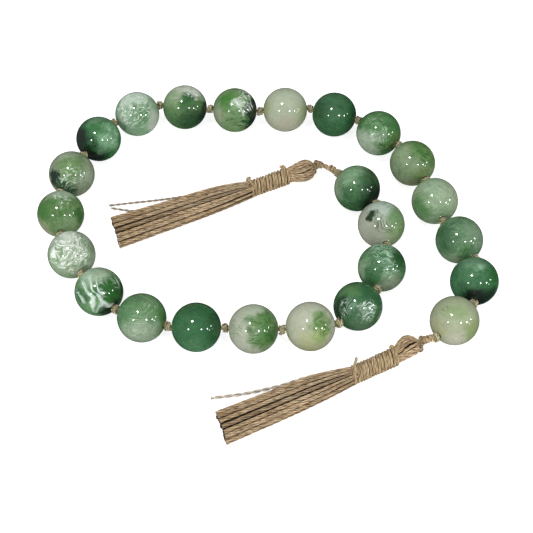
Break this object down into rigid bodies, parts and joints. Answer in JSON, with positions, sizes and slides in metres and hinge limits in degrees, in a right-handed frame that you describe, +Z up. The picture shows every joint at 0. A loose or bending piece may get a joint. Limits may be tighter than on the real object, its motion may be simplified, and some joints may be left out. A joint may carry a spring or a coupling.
{
  "type": "prayer bead strand",
  "caption": "Open strand of marbled green round beads on knotted natural twine, with a bound twine tassel at each end, laid in a loose coil.",
  "frame": {"origin": "middle of the laid-out strand, on the surface it lies on", "axes": "+Z up from that surface; +X along the coil's longer side; the outer tassel lies towards -Y"},
  "size_m": [0.194, 0.1799, 0.02],
  "materials": {
    "jade_dark": "polished, marbled dark green",
    "jade_green": "polished, marbled green",
    "jade_sage": "polished, marbled sage green",
    "jade_pale": "polished, pale with green veins",
    "twine": "twisted jute twine"
  },
  "bodies": {
    "twine_01": {"twine_01": "twine"},
    "bead_01": {"bead_01": "jade_dark"},
    "twine_02": {"twine_02": "twine"},
    "bead_02": {"bead_02": "jade_pale"},
    "twine_03": {"twine_03": "twine"},
    "bead_03": {"bead_03": "jade_green"},
    "twine_04": {"twine_04": "twine"},
    "bead_04": {"bead_04": "jade_dark"},
    "twine_05": {"twine_05": "twine"},
    "bead_05": {"bead_05": "jade_pale"},
    "twine_06": {"twine_06": "twine"},
    "bead_06": {"bead_06": "jade_pale"},
    "twine_07": {"twine_07": "twine"},
    "bead_07": {"bead_07": "jade_dark"},
    "twine_08": {"twine_08": "twine"},
    "bead_08": {"bead_08": "jade_green"},
    "twine_09": {"twine_09": "twine"},
    "bead_09": {"bead_09": "jade_green"},
    "twine_10": {"twine_10": "twine"},
    "bead_10": {"bead_10": "jade_pale"},
    "twine_11": {"twine_11": "twine"},
    "bead_11": {"bead_11": "jade_green"},
    "twine_12": {"twine_12": "twine"},
    "bead_12": {"bead_12": "jade_sage"},
    "twine_13": {"twine_13": "twine"},
    "bead_13": {"bead_13": "jade_dark"},
    "twine_14": {"twine_14": "twine"},
    "bead_14": {"bead_14": "jade_pale"},
    "twine_15": {"twine_15": "twine"},
    "bead_15": {"bead_15": "jade_green"},
    "twine_16": {"twine_16": "twine"},
    "bead_16": {"bead_16": "jade_dark"},
    "twine_17": {"twine_17": "twine"},
    "bead_17": {"bead_17": "jade_pale"},
    "twine_18": {"twine_18": "twine"},
    "bead_18": {"bead_18": "jade_dark"},
    "twine_19": {"twine_19": "twine"},
    "bead_19": {"bead_19": "jade_green"},
    "twine_20": {"twine_20": "twine"},
    "bead_20": {"bead_20": "jade_sage"},
    "twine_21": {"twine_21": "twine"},
    "bead_21": {"bead_21": "jade_sage"},
    "twine_22": {"twine_22": "twine"},
    "bead_22": {"bead_22": "jade_green"},
    "twine_23": {"twine_23": "twine"},
    "bead_23": {"bead_23": "jade_dark"},
    "twine_24": {"twine_24": "twine"},
    "bead_24": {"bead_24": "jade_pale"},
    "inner_neck": {"inner_neck": "twine"},
    "inner_tassel": {"inner_loops": "twine", "inner_binding": "twine"},
    "inner_skirt": {"inner_skirt": "twine", "inner_stray_long": "twine", "inner_stray_short": "twine"},
    "outer_neck": {"outer_neck": "twine"},
    "outer_tassel": {"outer_loops": "twine", "outer_binding": "twine"},
    "outer_skirt": {"outer_skirt": "twine", "outer_stray": "twine"}
  },
  "joints": [
    {"name": "bead_01_spin", "type": "hinge", "parent": "twine_01", "child": "bead_01", "pos_m": [0.04084, 0.03209, 0.01], "axis": [0.682, -0.7314, 0], "continuous": true},
    {"name": "bead_02_spin", "type": "hinge", "parent": "twine_02", "child": "bead_02", "pos_m": [0.05029, 0.01229, 0.01], "axis": [0.1392, -0.9903, 0], "continuous": true},
    {"name": "bead_03_spin", "type": "hinge", "parent": "twine_03", "child": "bead_03", "pos_m": [0.0493, -0.0103, 0.01], "axis": [-0.225, -0.9744, 0], "continuous": true},
    {"name": "bead_04_spin", "type": "hinge", "parent": "twine_04", "child": "bead_04", "pos_m": [0.03858, -0.02964, 0.01], "axis": [-0.7071, -0.7071, 0], "continuous": true},
    {"name": "bead_05_spin", "type": "hinge", "parent": "twine_05", "child": "bead_05", "pos_m": [0.01906, -0.03937, 0.01], "axis": [-0.9903, -0.1392, 0], "continuous": true},
    {"name": "bead_06_spin", "type": "hinge", "parent": "twine_06", "child": "bead_06", "pos_m": [-0.00382, -0.04057, 0.01], "axis": [-0.9994, 0.0349, 0], "continuous": true},
    {"name": "bead_07_spin", "type": "hinge", "parent": "twine_07", "child": "bead_07", "pos_m": [-0.02681, -0.03977, 0.01], "axis": [-0.9994, 0.0349, 0], "continuous": true},
    {"name": "bead_08_spin", "type": "hinge", "parent": "twine_08", "child": "bead_08", "pos_m": [-0.04904, -0.03525, 0.01], "axis": [-0.9336, 0.3584, 0], "continuous": true},
    {"name": "bead_09_spin", "type": "hinge", "parent": "twine_09", "child": "bead_09", "pos_m": [-0.06732, -0.02244, 0.01], "axis": [-0.6561, 0.7547, 0], "continuous": true},
    {"name": "bead_10_spin", "type": "hinge", "parent": "twine_10", "child": "bead_10", "pos_m": [-0.08026, -0.00361, 0.01], "axis": [-0.4695, 0.8829, 0], "continuous": true},
    {"name": "bead_11_spin", "type": "hinge", "parent": "twine_11", "child": "bead_11", "pos_m": [-0.08686, 0.01798, 0.01], "axis": [-0.1045, 0.9945, 0], "continuous": true},
    {"name": "bead_12_spin", "type": "hinge", "parent": "twine_12", "child": "bead_12", "pos_m": [-0.08413, 0.04022, 0.01], "axis": [0.342, 0.9397, 0], "continuous": true},
    {"name": "bead_13_spin", "type": "hinge", "parent": "twine_13", "child": "bead_13", "pos_m": [-0.07393, 0.06067, 0.01], "axis": [0.5446, 0.8387, 0], "continuous": true},
    {"name": "bead_14_spin", "type": "hinge", "parent": "twine_14", "child": "bead_14", "pos_m": [-0.05751, 0.07572, 0.01], "axis": [0.8829, 0.4695, 0], "continuous": true},
    {"name": "bead_15_spin", "type": "hinge", "parent": "twine_15", "child": "bead_15", "pos_m": [-0.03592, 0.07991, 0.01], "axis": [0.9945, -0.1045, 0], "continuous": true},
    {"name": "bead_16_spin", "type": "hinge", "parent": "twine_16", "child": "bead_16", "pos_m": [-0.013, 0.07811, 0.01], "axis": [0.9986, -0.0523, 0], "continuous": true},
    {"name": "bead_17_spin", "type": "hinge", "parent": "twine_17", "child": "bead_17", "pos_m": [0.00995, 0.07831, 0.01], "axis": [0.9976, 0.0698, 0], "continuous": true},
    {"name": "bead_18_spin", "type": "hinge", "parent": "twine_18", "child": "bead_18", "pos_m": [0.0323, 0.07537, 0.01], "axis": [0.9455, -0.3256, 0], "continuous": true},
    {"name": "bead_19_spin", "type": "hinge", "parent": "twine_19", "child": "bead_19", "pos_m": [0.05185, 0.06408, 0.01], "axis": [0.7547, -0.6561, 0], "continuous": true},
    {"name": "bead_20_spin", "type": "hinge", "parent": "twine_20", "child": "bead_20", "pos_m": [0.06593, 0.04638, 0.01], "axis": [0.4695, -0.8829, 0], "continuous": true},
    {"name": "bead_21_spin", "type": "hinge", "parent": "twine_21", "child": "bead_21", "pos_m": [0.07411, 0.02507, 0.01], "axis": [0.2419, -0.9703, 0], "continuous": true},
    {"name": "bead_22_spin", "type": "hinge", "parent": "twine_22", "child": "bead_22", "pos_m": [0.08281, 0.00405, 0.01], "axis": [0.515, -0.8572, 0], "continuous": true},
    {"name": "bead_23_spin", "type": "hinge", "parent": "twine_23", "child": "bead_23", "pos_m": [0.08714, -0.01719, 0.01], "axis": [-0.1392, -0.9903, 0], "continuous": true},
    {"name": "bead_24_spin", "type": "hinge", "parent": "twine_24", "child": "bead_24", "pos_m": [0.07727, -0.03657, 0.01], "axis": [-0.7193, -0.6947, 0], "continuous": true},
    {"name": "knot_00_lift", "type": "hinge", "parent": "twine_01", "child": "inner_neck", "pos_m": [0.033, 0.0405, 0.01], "axis": [-0.7314, -0.682, 0], "range_deg": [-40, 0]},
    {"name": "knot_01_lift", "type": "hinge", "parent": "twine_02", "child": "twine_01", "pos_m": [0.04869, 0.02368, 0.01], "axis": [0.9026, 0.4305, 0], "range_deg": [0, 40]},
    {"name": "knot_02_lift", "type": "hinge", "parent": "twine_03", "child": "twine_02", "pos_m": [0.05189, 0.0009, 0.01], "axis": [-0.999, 0.0436, 0], "range_deg": [-40, 0]},
    {"name": "knot_03_lift", "type": "hinge", "parent": "twine_04", "child": "twine_03", "pos_m": [0.04671, -0.02151, 0.01], "axis": [0.8746, -0.4848, 0], "range_deg": [0, 40]},
    {"name": "knot_04_lift", "type": "hinge", "parent": "twine_05", "child": "twine_04", "pos_m": [0.03045, -0.03777, 0.01], "axis": [-0.4462, 0.8949, 0], "range_deg": [-40, 0]},
    {"name": "knot_05_lift", "type": "hinge", "parent": "twine_06", "child": "twine_05", "pos_m": [0.00767, -0.04097, 0.01], "axis": [0.0523, -0.9986, 0], "range_deg": [0, 40]},
    {"name": "knot_06_lift", "type": "hinge", "parent": "twine_07", "child": "twine_06", "pos_m": [-0.01531, -0.04017, 0.01], "axis": [0.0349, 0.9994, 0], "range_deg": [-40, 0]},
    {"name": "knot_07_lift", "type": "hinge", "parent": "twine_08", "child": "twine_07", "pos_m": [-0.0383, -0.03937, 0.01], "axis": [-0.1994, -0.9799, 0], "range_deg": [0, 40]},
    {"name": "knot_08_lift", "type": "hinge", "parent": "twine_09", "child": "twine_08", "pos_m": [-0.05977, -0.03112, 0.01], "axis": [0.5736, 0.8192, 0], "range_deg": [-40, 0]},
    {"name": "knot_09_lift", "type": "hinge", "parent": "twine_10", "child": "twine_09", "pos_m": [-0.07486, -0.01377, 0.01], "axis": [-0.8241, -0.5664, 0], "range_deg": [0, 40]},
    {"name": "knot_10_lift", "type": "hinge", "parent": "twine_11", "child": "twine_10", "pos_m": [-0.08566, 0.00654, 0.01], "axis": [0.9563, 0.2924, 0], "range_deg": [-40, 0]},
    {"name": "knot_11_lift", "type": "hinge", "parent": "twine_12", "child": "twine_11", "pos_m": [-0.08806, 0.02942, 0.01], "axis": [-0.9925, 0.1219, 0], "range_deg": [0, 40]},
    {"name": "knot_12_lift", "type": "hinge", "parent": "twine_12", "child": "twine_13", "pos_m": [-0.0802, 0.05103, 0.01], "axis": [0.8949, -0.4462, 0], "range_deg": [0, 40]},
    {"name": "knot_13_lift", "type": "hinge", "parent": "twine_13", "child": "twine_14", "pos_m": [-0.06767, 0.07032, 0.01], "axis": [0.6756, -0.7373, 0], "range_deg": [0, 40]},
    {"name": "knot_14_lift", "type": "hinge", "parent": "twine_14", "child": "twine_15", "pos_m": [-0.04736, 0.08112, 0.01], "axis": [-0.1908, 0.9816, 0], "range_deg": [-40, 0]},
    {"name": "knot_15_turn", "type": "hinge", "parent": "twine_15", "child": "twine_16", "pos_m": [-0.02449, 0.07871, 0.01], "axis": [0, 0, 1], "range_deg": [0, 50]},
    {"name": "knot_16_lift", "type": "hinge", "parent": "twine_16", "child": "twine_17", "pos_m": [-0.00152, 0.07751, 0.01], "axis": [0.0087, -1, 0], "range_deg": [0, 40]},
    {"name": "knot_17_turn", "type": "hinge", "parent": "twine_17", "child": "twine_18", "pos_m": [0.02142, 0.07911, 0.01], "axis": [0, 0, 1], "range_deg": [0, 50]},
    {"name": "knot_18_lift", "type": "hinge", "parent": "twine_18", "child": "twine_19", "pos_m": [0.04317, 0.07162, 0.01], "axis": [0.5, 0.866, 0], "range_deg": [-40, 0]},
    {"name": "knot_19_turn", "type": "hinge", "parent": "twine_19", "child": "twine_20", "pos_m": [0.06053, 0.05654, 0.01], "axis": [0, 0, 1], "range_deg": [0, 50]},
    {"name": "knot_20_lift", "type": "hinge", "parent": "twine_20", "child": "twine_21", "pos_m": [0.07133, 0.03623, 0.01], "axis": [-0.9336, -0.3584, 0], "range_deg": [0, 40]},
    {"name": "knot_21_turn", "type": "hinge", "parent": "twine_21", "child": "twine_22", "pos_m": [0.07689, 0.01391, 0.01], "axis": [0, 0, 1], "range_deg": [0, 30]},
    {"name": "knot_22_lift", "type": "hinge", "parent": "twine_22", "child": "twine_23", "pos_m": [0.08874, -0.0058, 0.01], "axis": [0.9799, 0.1994, 0], "range_deg": [-40, 0]},
    {"name": "knot_23_turn", "type": "hinge", "parent": "twine_23", "child": "twine_24", "pos_m": [0.08554, -0.02858, 0.01], "axis": [0, 0, 1], "range_deg": [0, 50]},
    {"name": "knot_24_lift", "type": "hinge", "parent": "twine_24", "child": "outer_neck", "pos_m": [0.06899, -0.04456, 0.01], "axis": [-0.6947, 0.7193, 0], "range_deg": [0, 40]},
    {"name": "inner_tassel_swing", "type": "hinge", "parent": "inner_neck", "child": "inner_tassel", "pos_m": [0.0232, 0.0499, 0.0048], "axis": [0, 0, -1], "range_deg": [-22, 12]},
    {"name": "inner_skirt_sway", "type": "hinge", "parent": "inner_tassel", "child": "inner_skirt", "pos_m": [-0.01017, 0.03403, 0.0047], "axis": [0, 0, 1], "range_deg": [-15, 15]},
    {"name": "outer_tassel_swing", "type": "hinge", "parent": "outer_neck", "child": "outer_tassel", "pos_m": [0.0635, -0.0434, 0.0048], "axis": [0, 0, -1], "range_deg": [-50, 10]},
    {"name": "outer_skirt_sway", "type": "hinge", "parent": "outer_tassel", "child": "outer_skirt", "pos_m": [0.03144, -0.06102, 0.0047], "axis": [0, 0, 1], "range_deg": [-15, 15]}
  ]
}
